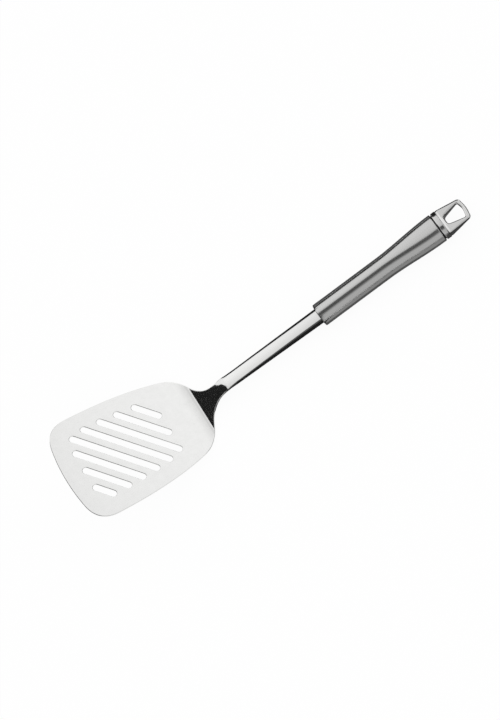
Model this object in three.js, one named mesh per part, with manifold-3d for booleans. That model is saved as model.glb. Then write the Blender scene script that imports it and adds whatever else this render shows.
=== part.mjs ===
// Slotted spatula: a slotted steel blade on a cranked neck, a flat shaft, a hollow handle and a cast end.
// Millimetres, +Z up. It lies as it does on a table, on the heel of the blade and the swell of the handle:
// the handle runs towards +X to the cast end, and the blade rises from its heel towards -X.
// While it is built, X = 0 is the handle's front rim and Z = 0 is the middle of the shaft.
import * as THREE from 'three';
import { mergeVertices } from 'three/addons/utils/BufferGeometryUtils.js';
import Module from 'manifold-3d';

const wasm = await Module();
wasm.setup();

// Blade, in its own plane: lengths run forward from the heel bend, widths lie across its middle line
const SHEET = 1.6; // thickness of the blade and its neck
const BLADE_LENGTH = 118.8; // heel bend to the middle of the front edge
const BLADE_WIDTH = 88.9;
const BLADE_RISE = 23.1; // degrees between the blade and the shaft
const FRONT_BOW = 2.2; // how far the front edge's middle stands ahead of its ends
const FRONT_CORNER_LENGTH = 22.8; // front rounding, back along each side
const FRONT_CORNER_WIDTH = 18.1; // front rounding, in along the front edge
const SHOULDER_LENGTH = 16; // heel bend to the end of the rounded shoulder
const SHOULDER_WIDTH = 71.2;
const SHOULDER_CORNER_LENGTH = 4.6; // the corner that the shoulder rounds off
const SHOULDER_CORNER_WIDTH = 64.9;

// Slots, a row of parallel round-ended cuts across the blade
const SLOT_COUNT = 8;
const SLOT_WIDTH = 5.2;
const SLOT_PITCH = 10.44; // square to the slots
const SLOT_ANGLE = 50; // degrees between a slot and the blade's middle line
const FIRST_SLOT = 21.2; // heel bend to where the first slot's line crosses the middle line
const SLOT_REAR = 29; // heel bend to the rear slot ends
const SLOT_FRONT_MARGIN = 15.4; // front edge to the front slot ends
const SLOT_LEFT_MARGIN = 12.8; // blade's left side to the slot ends there
const SLOT_RIGHT_MARGIN = 13.8; // blade's right side to the slot ends there
const SLOT_FIELD_CORNER = 11; // rounding of the slotted field's front left corner

// Neck, the bent-up end of the blade's sheet
const HEEL_DROP = 13.3; // middle of the shaft down to the middle of the sheet at the heel bend
const HEEL_RADIUS = 6; // middle of the sheet round the heel bend
const NECK_RISE = 28.4; // degrees between the neck and the shaft
const CRANK_RADIUS = 20; // middle of the sheet where the neck turns into the shaft's line
const CRANK_TO_WELD = 5.6;
const TURN_LENGTH = 2.5; // heel to where the edge turns from the shoulder's round to the neck's hollow
const TURN_WIDTH = 39.2; // across the sheet at that turn
const FLARE_LENGTH = 24; // heel to where the neck's hollow has run out

// Shaft, a flat bar with rounded edges
const SHAFT_LENGTH = 88.5; // weld at the neck to the handle's rim
const SHAFT_FRONT_WIDTH = 11.7;
const SHAFT_FRONT_THICKNESS = 3.4;
const SHAFT_REAR_WIDTH = 12.6;
const SHAFT_REAR_THICKNESS = 5.2;
const SHAFT_EDGE = 1.5; // rounding of the long edges
const NOSE_LENGTH = 9; // from full thickness down to the sheet's
const TANG_LENGTH = 30; // narrower end inside the handle, from the shoulder that seats on the front plate
const TANG_WIDTH = 8;
const TANG_THICKNESS = 4;
const WELD_GAP = 1.2; // thickness of the butt weld

// Handle, a drawn tube
const HANDLE_LENGTH = 112.7;
const HANDLE_FRONT_DIAMETER = 19;
const HANDLE_WAIST_DIAMETER = 18.9;
const HANDLE_REAR_WIDTH = 24.1; // the round tube spreads sideways towards its end
const HANDLE_REAR_HEIGHT = 18.9;
const FRONT_TAPER = 18; // front rim to the waist
const SWELL_LENGTH = 50; // over which the handle spreads
const REAR_STRAIGHT = 2.7; // end of the swell to the rear rim
const HANDLE_WALL = 1;
const RIM_ROUND = 0.5;
const HANDLE_TILT = 1.6; // degrees that the handle rises from the shaft's line
const HANDLE_DROP = 0.6; // handle's axis below the middle of the shaft at the rim
const REST_TILT = 1.595; // degrees that the shaft leans when heel and handle both touch the table

// Plate that closes the handle's front
const PLATE_THICKNESS = 1.5;
const PLATE_RECESS = 0.4;
const FILLET_WELD = 1.4; // leg of the hidden welds

// Cast end: lengths run from the joint with the handle
const JOINT_GROOVE = 0.4;
const COLLAR_STEP = 0.15; // collar's surface in from the handle's
const COLLAR_LENGTH = 4.6;
const COLLAR_ROUND = 0.5;
const CAP_LENGTH = 25.9;
const TONGUE_ROOT_WIDTH = 22.5;
const TONGUE_ROOT_THICKNESS = 7.4;
const TONGUE_TIP_WIDTH = 18.2;
const TONGUE_TIP_THICKNESS = 2;
const TONGUE_CORNER = 3.2; // rounding of the two tip corners
const TIP_BOW = 0.7;
const COVE = 2; // hollow between collar and tongue
const HOLE_START = 7.5;
const HOLE_END = 22.8;
const HOLE_START_WIDTH = 7.6;
const HOLE_END_WIDTH = 13.6;
const HOLE_CORNER = 2;
const HOLE_BOW = 0.9;
const SPIGOT_LENGTH = 12;
const SPIGOT_WALL = 2.6;
const BOND_DEPTH = 1.2; // groove round the spigot for the bonding ring
const BOND_WIDTH = 4;
const BOND_SETBACK = 4; // collar's rear face to the bonding groove

// Fits and fineness
const SEAT_GAP = 0.3; // between pieces that fit inside one another
const TURN_STEPS = 48; // sides of a turned piece
const ARC_STEPS = 8; // steps in a bend or a rounded corner
const SWELL_STEPS = 14; // steps along the handle's swell
const SECTION_STEPS = 4; // steps in each rounded edge of the shaft
const SOLVE_STEPS = 24; // passes in a search for a crossing
const MOST_ROUND = 0.45; // the most of a bar's thickness that one rounded edge takes up
const CUT_LAP = 0.04; // share of the side's first run where the blade's and the neck's cuts overlap
const CUT_REACH = 20; // how far a cutting solid reaches past what it cuts
const MIDDLE_BAND = 0.001; // nearer to the handle's middle plane than this is on it

const X_AXIS = new THREE.Vector3(1, 0, 0);
const Y_AXIS = new THREE.Vector3(0, 1, 0);
const Z_AXIS = new THREE.Vector3(0, 0, 1);
const MINUS_Y = Y_AXIS.clone().negate();
const vec = (x, y) => new THREE.Vector2(x, y);
const mirrored = (point) => vec(point.x, -point.y);

// Solids

function solidOf(geometry) {
  const bare = new THREE.BufferGeometry();
  bare.setAttribute('position', geometry.getAttribute('position'));
  bare.setIndex(geometry.getIndex());
  const merged = mergeVertices(bare);
  return new wasm.Manifold(new wasm.Mesh({
    numProp: 3,
    vertProperties: merged.getAttribute('position').array,
    triVerts: new Uint32Array(merged.getIndex().array),
  }));
}

function geometryOf(solid) {
  const mesh = solid.getMesh();
  const geometry = new THREE.BufferGeometry();
  geometry.setAttribute('position', new THREE.BufferAttribute(mesh.vertProperties, 3));
  geometry.setIndex(new THREE.BufferAttribute(mesh.triVerts, 1));
  return geometry;
}

// A flat outline made solid: its two directions and the way it is thickened are given as a basis.
function prism(shape, depth, basis, corner) {
  const geometry = new THREE.ExtrudeGeometry(shape, {
    depth,
    steps: 1,
    bevelEnabled: false,
    curveSegments: ARC_STEPS,
  });
  return geometry.applyMatrix4(new THREE.Matrix4().makeBasis(...basis).setPosition(corner));
}

// A turned piece about the X axis, from a closed profile of (distance along the axis, radius).
function turned(profile) {
  const points = profile.map(([along, radius]) => vec(radius, along));
  points.push(points[0].clone());
  return new THREE.LatheGeometry(points, TURN_STEPS).rotateZ(-Math.PI / 2);
}

// Rounding of a bar's long edges, limited by its thickness.
const edgeRound = (thickness) => Math.min(SHAFT_EDGE, thickness * MOST_ROUND);

// Points of a rounded rectangle, anticlockwise.
function roundedRectangle(width, height, round) {
  const points = [];
  for (let corner = 0; corner < 4; corner += 1) {
    const start = (corner * Math.PI) / 2;
    const sideX = corner === 0 || corner === 3 ? 1 : -1;
    const sideY = corner < 2 ? 1 : -1;
    const centre = vec(sideX * (width / 2 - round), sideY * (height / 2 - round));
    for (let step = 0; step <= SECTION_STEPS; step += 1) {
      const angle = start + (step / SECTION_STEPS) * (Math.PI / 2);
      points.push(vec(centre.x + round * Math.cos(angle), centre.y + round * Math.sin(angle)));
    }
  }
  return points;
}

// A bar through rounded rectangular sections that stand square to X, closed at both ends.
function bar(sections) {
  const rings = sections.map(({ x, width, thickness }) => {
    const round = edgeRound(thickness);
    return roundedRectangle(width, thickness, round).map((p) => [x, p.x, p.y]);
  });
  const count = rings[0].length;
  const index = [];
  for (let ring = 0; ring + 1 < rings.length; ring += 1) {
    for (let point = 0; point < count; point += 1) {
      const next = (point + 1) % count;
      const here = ring * count;
      const there = here + count;
      index.push(here + point, here + next, there + point);
      index.push(here + next, there + next, there + point);
    }
  }
  const last = (rings.length - 1) * count;
  for (let point = 1; point + 1 < count; point += 1) {
    index.push(0, point + 1, point);
    index.push(last, last + point, last + point + 1);
  }
  const geometry = new THREE.BufferGeometry();
  geometry.setAttribute('position', new THREE.Float32BufferAttribute(rings.flat(2), 3));
  geometry.setIndex(index);
  return geometry;
}

// A bent line moved to its left by an offset: straight runs joined by arcs round the inner corners.
function bentLine(corners, radii, offset) {
  const leftOf = (direction) => vec(-direction.y, direction.x);
  const points = [];
  corners.forEach((corner, i) => {
    const before = corner.clone().sub(corners[Math.max(i - 1, 0)]).normalize();
    const after = corners[Math.min(i + 1, corners.length - 1)].clone().sub(corner).normalize();
    if (i === 0 || i === corners.length - 1) {
      const normal = leftOf(i === 0 ? after : before);
      points.push(corner.clone().addScaledVector(normal, offset));
      return;
    }
    const turn = Math.atan2(before.cross(after), before.dot(after));
    const side = Math.sign(turn);
    const reach = radii[i] * Math.tan(Math.abs(turn) / 2);
    const start = corner.clone().addScaledVector(before, -reach);
    const centre = start.addScaledVector(leftOf(before), side * radii[i]);
    for (let step = 0; step <= ARC_STEPS; step += 1) {
      const normal = leftOf(before).rotateAround(vec(0, 0), (turn * step) / ARC_STEPS);
      points.push(centre.clone().addScaledVector(normal, offset - side * radii[i]));
    }
  });
  return points;
}

// Blade

const halfBlade = BLADE_WIDTH / 2;
const blade = {
  shoulderCorner: vec(SHOULDER_CORNER_LENGTH, SHOULDER_CORNER_WIDTH / 2),
  shoulder: vec(SHOULDER_LENGTH, SHOULDER_WIDTH / 2),
  sideEnd: vec(BLADE_LENGTH - FRONT_CORNER_LENGTH, halfBlade),
  frontEnd: vec(BLADE_LENGTH - FRONT_BOW, halfBlade - FRONT_CORNER_WIDTH),
  frontPeak: vec(BLADE_LENGTH + FRONT_BOW, 0),
};

// Where a straight line through two points reaches a given distance across the blade.
function reaching(from, through, across) {
  const share = (across - from.y) / (through.y - from.y);
  return from.clone().lerp(through, share);
}

blade.sideCorner = reaching(blade.shoulderCorner, blade.shoulder, halfBlade);
blade.frontCorner = reaching(blade.frontPeak, blade.frontEnd, halfBlade);

// Half-width of the blade's side, a curve from the shoulder to the front rounding.
function sideAt(along) {
  const curve = new THREE.QuadraticBezierCurve(blade.shoulder, blade.sideCorner, blade.sideEnd);
  let low = 0;
  let high = 1;
  for (let pass = 0; pass < SOLVE_STEPS; pass += 1) {
    const middle = (low + high) / 2;
    if (curve.getPoint(middle).x < along) low = middle;
    else high = middle;
  }
  return curve.getPoint(low).y;
}

// How far across a slot may run before it leaves the rounded front corner of the slotted field.
function cornerLimit(crossing, turn, front) {
  const along = front - SLOT_FIELD_CORNER;
  const centre = vec(along, sideAt(along) - SLOT_LEFT_MARGIN - SLOT_FIELD_CORNER);
  const direction = vec(Math.cos(turn), Math.sin(turn));
  const start = vec(crossing, 0);
  const nearest = centre.clone().sub(start).dot(direction);
  const miss = start.clone().addScaledVector(direction, nearest).distanceTo(centre);
  if (miss > SLOT_FIELD_CORNER) return Infinity;
  const exit = start.addScaledVector(direction, nearest + Math.sqrt(SLOT_FIELD_CORNER ** 2 - miss ** 2));
  return exit.x > centre.x && exit.y > centre.y ? exit.y : Infinity;
}

// One slot: its line crosses the middle line at a given place and is cut short by the margins.
function slotPath(crossing) {
  const slope = 1 / Math.tan(THREE.MathUtils.degToRad(SLOT_ANGLE));
  const alongAt = (across) => crossing + across * slope;
  const acrossAt = (along) => (along - crossing) / slope;
  const outer = (side, margin) => {
    let across = 0;
    for (let pass = 0; pass < SOLVE_STEPS; pass += 1) {
      across = side * (sideAt(alongAt(across)) - margin);
    }
    return across;
  };
  const front = BLADE_LENGTH - SLOT_FRONT_MARGIN;
  const turn = THREE.MathUtils.degToRad(SLOT_ANGLE);
  const low = Math.max(outer(-1, SLOT_RIGHT_MARGIN), acrossAt(SLOT_REAR));
  const left = outer(1, SLOT_LEFT_MARGIN);
  const high = Math.min(left, acrossAt(front), cornerLimit(crossing, turn, front));
  const radius = SLOT_WIDTH / 2;
  const inset = radius * Math.sin(turn);
  const path = new THREE.Path();
  path.absarc(alongAt(high - inset), high - inset, radius, turn - Math.PI / 2, turn + Math.PI / 2);
  path.absarc(alongAt(low + inset), low + inset, radius, turn + Math.PI / 2, turn + (Math.PI * 3) / 2);
  path.closePath();
  return path;
}

function bladeOutline() {
  const shape = new THREE.Shape();
  const curve = (corner, end) => shape.quadraticCurveTo(corner.x, corner.y, end.x, end.y);
  shape.moveTo(blade.shoulder.x, -blade.shoulder.y);
  curve(mirrored(blade.sideCorner), mirrored(blade.sideEnd));
  curve(mirrored(blade.frontCorner), mirrored(blade.frontEnd));
  curve(blade.frontPeak, blade.frontEnd);
  curve(blade.frontCorner, blade.sideEnd);
  curve(blade.sideCorner, blade.shoulder);
  shape.closePath();
  const step = SLOT_PITCH / Math.sin(THREE.MathUtils.degToRad(SLOT_ANGLE));
  for (let slot = 0; slot < SLOT_COUNT; slot += 1) {
    shape.holes.push(slotPath(FIRST_SLOT + slot * step));
  }
  return shape;
}

const rise = THREE.MathUtils.degToRad(BLADE_RISE);
const weldX = -SHAFT_LENGTH;
const neckEnd = vec(weldX - WELD_GAP, 0);
const crank = vec(neckEnd.x - CRANK_TO_WELD, 0);
const neckRun = HEEL_DROP / Math.tan(THREE.MathUtils.degToRad(NECK_RISE));
const heelPoint = vec(crank.x - neckRun, -HEEL_DROP);

// The heel and the neck seen from above, from the blade's shoulder to the weld.
function neckOutline() {
  const halfEnd = SHAFT_FRONT_WIDTH / 2;
  const above = (point) => vec(heelPoint.x - point.x * Math.cos(rise), point.y);
  const lap = above(blade.shoulder.clone().lerp(blade.sideCorner, CUT_LAP));
  const shoulder = above(blade.shoulder);
  const shoulderCorner = above(blade.shoulderCorner);
  const turn = vec(heelPoint.x + TURN_LENGTH, TURN_WIDTH / 2);
  const flareCorner = reaching(shoulderCorner, turn, halfEnd);
  const flareEnd = vec(heelPoint.x + FLARE_LENGTH, halfEnd);
  const shape = new THREE.Shape();
  const curve = (corner, end) => shape.quadraticCurveTo(corner.x, corner.y, end.x, end.y);
  shape.moveTo(lap.x, -lap.y);
  shape.lineTo(shoulder.x, -shoulder.y);
  curve(mirrored(shoulderCorner), mirrored(turn));
  curve(mirrored(flareCorner), mirrored(flareEnd));
  shape.lineTo(neckEnd.x, -halfEnd);
  shape.lineTo(neckEnd.x, halfEnd);
  shape.lineTo(flareEnd.x, flareEnd.y);
  curve(flareCorner, turn);
  curve(shoulderCorner, shoulder);
  shape.lineTo(lap.x, lap.y);
  shape.closePath();
  return shape;
}

// The bent sheet at its full width, cut to the blade's outline and slots and to the neck's outline.
function bladeGeometry() {
  const forward = vec(-Math.cos(rise), Math.sin(rise));
  const tip = heelPoint.clone().addScaledVector(forward, BLADE_LENGTH + FRONT_BOW);
  const corners = [tip, heelPoint, crank, neckEnd];
  const radii = [0, HEEL_RADIUS, CRANK_RADIUS, 0];
  const under = bentLine(corners, radii, -SHEET / 2);
  const over = bentLine(corners, radii, SHEET / 2);
  const section = new THREE.Shape([...under, ...over.reverse()]);
  const sheetWidth = BLADE_WIDTH + CUT_REACH;
  const sheetPlace = new THREE.Vector3(0, sheetWidth / 2, 0);
  const sheet = prism(section, sheetWidth, [X_AXIS, Z_AXIS, MINUS_Y], sheetPlace);
  const along = new THREE.Vector3(forward.x, 0, forward.y);
  const below = along.clone().cross(Y_AXIS);
  const bladePlace = new THREE.Vector3(heelPoint.x, 0, heelPoint.y).addScaledVector(below, -CUT_REACH / 2);
  const outline = prism(bladeOutline(), CUT_REACH, [along, Y_AXIS, below], bladePlace);
  const neckDepth = HEEL_DROP + 2 * CUT_REACH;
  const neckPlace = new THREE.Vector3(0, 0, -HEEL_DROP - CUT_REACH);
  const neck = prism(neckOutline(), neckDepth, [X_AXIS, Y_AXIS, Z_AXIS], neckPlace);
  return geometryOf(solidOf(sheet).intersect(solidOf(outline).add(solidOf(neck))));
}

// Shaft and the weld at its front

const weldSection = { width: SHAFT_FRONT_WIDTH, thickness: SHEET };

function neckWeldGeometry() {
  return bar([{ x: neckEnd.x, ...weldSection }, { x: weldX, ...weldSection }]);
}

function shaftGeometry() {
  const tang = { width: TANG_WIDTH, thickness: TANG_THICKNESS };
  return bar([
    { x: weldX, ...weldSection },
    { x: weldX + NOSE_LENGTH, width: SHAFT_FRONT_WIDTH, thickness: SHAFT_FRONT_THICKNESS },
    { x: PLATE_RECESS, width: SHAFT_REAR_WIDTH, thickness: SHAFT_REAR_THICKNESS },
    { x: PLATE_RECESS, ...tang },
    { x: PLATE_RECESS + TANG_LENGTH, ...tang },
  ]);
}

// Handle

const swellEnd = HANDLE_LENGTH - REAR_STRAIGHT;
const swellStart = swellEnd - SWELL_LENGTH;

const rearRadius = HANDLE_REAR_HEIGHT / 2;
const rearSpread = Math.max(0, HANDLE_REAR_WIDTH / 2 - rearRadius);

function handleRadius(along) {
  const swell = THREE.MathUtils.smoothstep(along, swellStart, swellEnd);
  const flare = 1 - THREE.MathUtils.smoothstep(along, 0, FRONT_TAPER);
  const waist = HANDLE_WAIST_DIAMETER / 2;
  const atFront = (HANDLE_FRONT_DIAMETER / 2 - waist) * flare;
  return waist + atFront + (rearRadius - waist) * swell;
}

// A piece turned round the handle's axis, its two sides moved apart where the handle spreads.
function spreadTurned(profile) {
  const geometry = turned(profile);
  const places = geometry.getAttribute('position');
  for (let i = 0; i < places.count; i += 1) {
    const across = places.getY(i);
    const spread = rearSpread * THREE.MathUtils.smoothstep(places.getX(i), swellStart, swellEnd);
    const side = Math.abs(across) < MIDDLE_BAND ? 0 : Math.sign(across);
    places.setY(i, across + side * spread);
  }
  return geometry;
}

const boreFront = HANDLE_FRONT_DIAMETER / 2 - HANDLE_WALL;
const boreRear = rearRadius - HANDLE_WALL;

function handleGeometry() {
  const stations = [RIM_ROUND, FRONT_TAPER];
  for (let step = 0; step <= SWELL_STEPS; step += 1) {
    stations.push(THREE.MathUtils.lerp(swellStart, swellEnd, step / SWELL_STEPS));
  }
  const outside = stations.map((along) => [along, handleRadius(along)]);
  const inside = outside.map(([along, radius]) => [along, radius - HANDLE_WALL]).reverse();
  const rearRound = rearRadius - RIM_ROUND;
  return spreadTurned([
    [0, HANDLE_FRONT_DIAMETER / 2 - RIM_ROUND],
    ...outside,
    [HANDLE_LENGTH - RIM_ROUND, rearRadius],
    [HANDLE_LENGTH, rearRound],
    [HANDLE_LENGTH, boreRear],
    ...inside,
    [0, boreFront],
  ]);
}

// Plate in the handle's front, and the welds behind it

const plateBack = PLATE_RECESS + PLATE_THICKNESS;
const plateRadius = boreFront - SEAT_GAP;
const roundTang = (gap) => roundedRectangle(
  TANG_WIDTH + 2 * gap,
  TANG_THICKNESS + 2 * gap,
  edgeRound(TANG_THICKNESS) + gap,
);

function frontPlateGeometry() {
  const disc = new THREE.Shape();
  disc.absarc(0, -HANDLE_DROP, plateRadius, 0, Math.PI * 2);
  disc.holes.push(new THREE.Path(roundTang(SEAT_GAP)));
  const place = new THREE.Vector3(PLATE_RECESS, 0, 0);
  return prism(disc, PLATE_THICKNESS, [Y_AXIS, Z_AXIS, X_AXIS], place);
}

function shaftWeldGeometry() {
  const bead = new THREE.Shape(roundTang(SEAT_GAP + FILLET_WELD));
  bead.holes.push(new THREE.Path(roundTang(SEAT_GAP)));
  const place = new THREE.Vector3(plateBack, 0, 0);
  return prism(bead, FILLET_WELD, [Y_AXIS, Z_AXIS, X_AXIS], place);
}

function plateWeldGeometry() {
  return turned([
    [plateBack, plateRadius - FILLET_WELD],
    [plateBack, plateRadius],
    [plateBack + FILLET_WELD, plateRadius],
  ]).translate(0, 0, -HANDLE_DROP);
}

// Cast end and the ring that bonds it

const capStart = HANDLE_LENGTH + JOINT_GROOVE;
const collarEnd = HANDLE_LENGTH + COLLAR_LENGTH;
const capTip = HANDLE_LENGTH + CAP_LENGTH;
const tongueStart = (capStart + collarEnd) / 2;
const collarRadius = rearRadius - COLLAR_STEP;
const spigotEnd = capStart - SPIGOT_LENGTH;
const spigotRadius = handleRadius(spigotEnd) - HANDLE_WALL - SEAT_GAP;
const bondStart = capStart - BOND_SETBACK;
const bondEnd = bondStart - BOND_WIDTH;
const bondRadius = spigotRadius - BOND_DEPTH;

function collarGeometry() {
  const hollow = bondRadius - SPIGOT_WALL;
  return spreadTurned([
    [spigotEnd, hollow],
    [spigotEnd, spigotRadius],
    [bondEnd, spigotRadius],
    [bondEnd, bondRadius],
    [bondStart, bondRadius],
    [bondStart, spigotRadius],
    [capStart, spigotRadius],
    [capStart, collarRadius - COLLAR_ROUND],
    [capStart + COLLAR_ROUND, collarRadius],
    [collarEnd - COLLAR_ROUND, collarRadius],
    [collarEnd, collarRadius - COLLAR_ROUND],
    [collarEnd, 0],
    [capStart, 0],
    [capStart, hollow],
  ]);
}

// An outline that narrows or widens evenly from one end to the other, bowed at its far end.
function taperedOutline({ start, startWidth, end, endWidth, corner, bow, startCorner }) {
  const side = (along) => {
    const share = (along - start) / (end - start);
    return THREE.MathUtils.lerp(startWidth, endWidth, share) / 2;
  };
  const nearX = start + startCorner;
  const farX = end - corner;
  const shape = new THREE.Shape();
  shape.moveTo(start, startCorner - side(start));
  shape.quadraticCurveTo(start, -side(start), nearX, -side(nearX));
  shape.lineTo(farX, -side(farX));
  shape.quadraticCurveTo(end, -side(end), end, corner - side(end));
  shape.quadraticCurveTo(end + 2 * bow, 0, end, side(end) - corner);
  shape.quadraticCurveTo(end, side(end), farX, side(farX));
  shape.lineTo(nearX, side(nearX));
  shape.quadraticCurveTo(start, side(start), start, side(start) - startCorner);
  shape.closePath();
  return shape;
}

// The tongue seen from the side: a wedge from the collar to the tip, with a hollow cove at its root.
function tongueSection() {
  const root = TONGUE_ROOT_THICKNESS / 2;
  const tip = TONGUE_TIP_THICKNESS / 2;
  const shape = new THREE.Shape();
  shape.moveTo(tongueStart, -root - COVE);
  shape.lineTo(collarEnd, -root - COVE);
  shape.quadraticCurveTo(collarEnd, -root, collarEnd + COVE, -root);
  shape.lineTo(capTip, -tip);
  shape.lineTo(capTip, tip);
  shape.lineTo(collarEnd + COVE, root);
  shape.quadraticCurveTo(collarEnd, root, collarEnd, root + COVE);
  shape.lineTo(tongueStart, root + COVE);
  shape.closePath();
  return shape;
}

function endCapGeometry() {
  const tongue = taperedOutline({
    start: tongueStart,
    startWidth: TONGUE_ROOT_WIDTH,
    end: capTip - TIP_BOW,
    endWidth: TONGUE_TIP_WIDTH,
    corner: TONGUE_CORNER,
    bow: TIP_BOW,
    startCorner: 0,
  });
  const hole = taperedOutline({
    start: HANDLE_LENGTH + HOLE_START,
    startWidth: HOLE_START_WIDTH,
    end: HANDLE_LENGTH + HOLE_END - HOLE_BOW,
    endWidth: HOLE_END_WIDTH,
    corner: HOLE_CORNER,
    bow: HOLE_BOW,
    startCorner: HOLE_CORNER,
  });
  const across = [X_AXIS, Z_AXIS, MINUS_Y];
  const upright = [X_AXIS, Y_AXIS, Z_AXIS];
  const depth = HANDLE_REAR_WIDTH + CUT_REACH;
  const below = new THREE.Vector3(0, 0, -depth / 2);
  const wedge = solidOf(prism(tongueSection(), depth, across, new THREE.Vector3(0, depth / 2, 0)));
  const round = solidOf(spreadTurned([
    [tongueStart, 0],
    [tongueStart, collarRadius - COLLAR_ROUND],
    [capTip + CUT_REACH, collarRadius - COLLAR_ROUND],
    [capTip + CUT_REACH, 0],
  ]));
  const flat = solidOf(prism(tongue, depth, upright, below));
  const eye = solidOf(prism(hole, depth, upright, below));
  const tongueSolid = wedge.intersect(flat).intersect(round);
  return geometryOf(solidOf(collarGeometry()).add(tongueSolid).subtract(eye));
}

function capBondGeometry() {
  const inner = bondRadius + SEAT_GAP;
  return spreadTurned([
    [bondEnd + SEAT_GAP, inner],
    [bondEnd + SEAT_GAP, spigotRadius],
    [bondStart - SEAT_GAP, spigotRadius],
    [bondStart - SEAT_GAP, inner],
  ]);
}

// Finishes

const polished = { color: 0xdcdddb, roughness: 0.12, metalness: 1 };
const brushed = { color: 0x9c9c98, roughness: 0.38, metalness: 1 };
const cast = { color: 0xc6c7c3, roughness: 0.22, metalness: 1 };
const pressed = { color: 0xa8a8a4, roughness: 0.45, metalness: 1 };
const filler = { color: 0x8b8a86, roughness: 0.6, metalness: 1 };

const spatula = new THREE.Group();

function addPiece(name, geometry, finish) {
  const mesh = new THREE.Mesh(geometry, new THREE.MeshStandardMaterial(finish));
  mesh.name = name;
  spatula.add(mesh);
}

// Pieces on the handle's own axis, which leans from the shaft's line.
function onHandle(geometry) {
  return geometry.rotateY(-THREE.MathUtils.degToRad(HANDLE_TILT)).translate(0, 0, -HANDLE_DROP);
}

addPiece('slotted_blade', bladeGeometry(), polished);
addPiece('neck_weld', neckWeldGeometry(), polished);
addPiece('shaft', shaftGeometry(), polished);
addPiece('front_plate', frontPlateGeometry(), pressed);
addPiece('shaft_weld', shaftWeldGeometry(), filler);
addPiece('plate_weld', plateWeldGeometry(), filler);
addPiece('handle_shell', onHandle(handleGeometry()), brushed);
addPiece('cap_bond', onHandle(capBondGeometry()), filler);
addPiece('end_cap', onHandle(endCapGeometry()), cast);

// The part lies at rest, and its origin is the middle of its footprint, on the surface that it lies on.
spatula.children.forEach((mesh) => mesh.geometry.rotateY(THREE.MathUtils.degToRad(REST_TILT)));
const box = new THREE.Box3().setFromObject(spatula);
const middle = box.getCenter(new THREE.Vector3());
spatula.children.forEach((mesh) => mesh.geometry.translate(-middle.x, -middle.y, -box.min.z));

export default spatula;
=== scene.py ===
"""Slotted spatula in stainless steel: slotted blade with a cranked neck, flat shaft, satin handle, cast end.

Lengths are millimetres in the maker's frame: X runs along the shaft from the handle's front rim towards the
cast end, and Z is up from the middle of the shaft. The blade's own lengths run forward from its heel bend.
The studio's lengths are metres in the part's frame.
"""

import bmesh
import bpy
import numpy as np
from mathutils import Matrix, Vector


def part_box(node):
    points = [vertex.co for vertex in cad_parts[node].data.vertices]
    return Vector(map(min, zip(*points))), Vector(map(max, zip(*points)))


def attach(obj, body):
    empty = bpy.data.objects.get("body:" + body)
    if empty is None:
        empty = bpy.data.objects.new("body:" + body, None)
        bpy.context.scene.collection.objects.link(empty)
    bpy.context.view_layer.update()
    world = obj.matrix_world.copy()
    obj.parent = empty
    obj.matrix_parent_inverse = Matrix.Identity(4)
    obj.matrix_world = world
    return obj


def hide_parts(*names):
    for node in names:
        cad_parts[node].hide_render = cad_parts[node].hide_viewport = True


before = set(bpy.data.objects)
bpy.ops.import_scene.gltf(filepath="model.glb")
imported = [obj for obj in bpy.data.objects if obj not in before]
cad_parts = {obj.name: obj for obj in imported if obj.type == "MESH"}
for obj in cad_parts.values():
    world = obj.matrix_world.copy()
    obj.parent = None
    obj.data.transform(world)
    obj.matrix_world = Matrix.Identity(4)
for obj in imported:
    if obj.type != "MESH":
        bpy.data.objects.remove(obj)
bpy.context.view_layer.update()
MM = 0.001

# Outline of the blade and shoulder: places, and the reach of the front corners, as (length, across)
BLADE_LENGTH = 118.8
HALF_BLADE = 44.45
FRONT_BOW = 2.2
FRONT_CORNER = (22.8, 18.1)
SHOULDER = (16.0, 35.6)
SHOULDER_CORNER = (4.6, 32.45)

# The same seen from above: X where the blade's own lengths start, and the neck's places measured from there
PLAN_X = -119.9
TURN = (2.5, 19.6)
FLARE_LENGTH = 24.0

# Bends of the sheet: a slight sweep as (length, turn), the heel, and the crank with its corner at CRANK_X
SHEET = 1.6
SHEET_ROUND = 0.42
SHEET_SPARE = 1.5
BLADE_RISE = np.radians(23.1)
HEEL_SWEEP = (10.0, np.radians(4.5))
HEEL_RADIUS = 6.0
HEEL_DROP = 13.3
NECK_RISE = np.radians(28.4)
NECK_END_X = -89.7
CRANK_RADIUS = 15.0
CRANK_X = -93.55

# Doming of the neck's end and the shaft, faded in over a stretch of X
CROWN_RADIUS = 30.0
CROWN_START = (-101.0, -93.0)

# Slots, in a field with margins and one rounded corner
SLOT_COUNT = 8
SLOT_WIDTH = 5.2
SLOT_PITCH = 10.44
SLOT_ANGLE = np.radians(50.0)
FIRST_SLOT = 21.2
SLOT_REAR = 29.0
SLOT_FRONT = 103.4
SLOT_LEFT_MARGIN = 12.8
SLOT_RIGHT_MARGIN = 13.8
FIELD_CORNER = 11.0

# Shaft, with sections and edges as (across, up)
SHAFT_FRONT_X = -88.5
SHAFT_FRONT = (11.7, 3.4)
SHAFT_REAR = (12.6, 5.2)
SHAFT_EDGE = (2.4, 1.5)
NOSE_LENGTH = 9.0
EDGE_LENGTH = NOSE_LENGTH / 4
TOP_EASE = 0.45
TANG = (8.0, 4.0)
TANG_LENGTH = 30.0
PLATE_RECESS = 0.4

# Handle
HANDLE_LENGTH = 112.7
FRONT_RADIUS = 9.5
WAIST_RADIUS = 9.45
REAR_SPREAD = 2.6
SPREAD_SOFTNESS = 0.25
FRONT_TAPER = 18.0
SWELL_START = 60.0
SWELL_END = 110.0
HANDLE_WALL = 1.0
RIM_ROUND = 0.6
HANDLE_TILT = np.radians(1.6)
HANDLE_DROP = 0.6
REST_TILT = np.radians(1.595)

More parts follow.
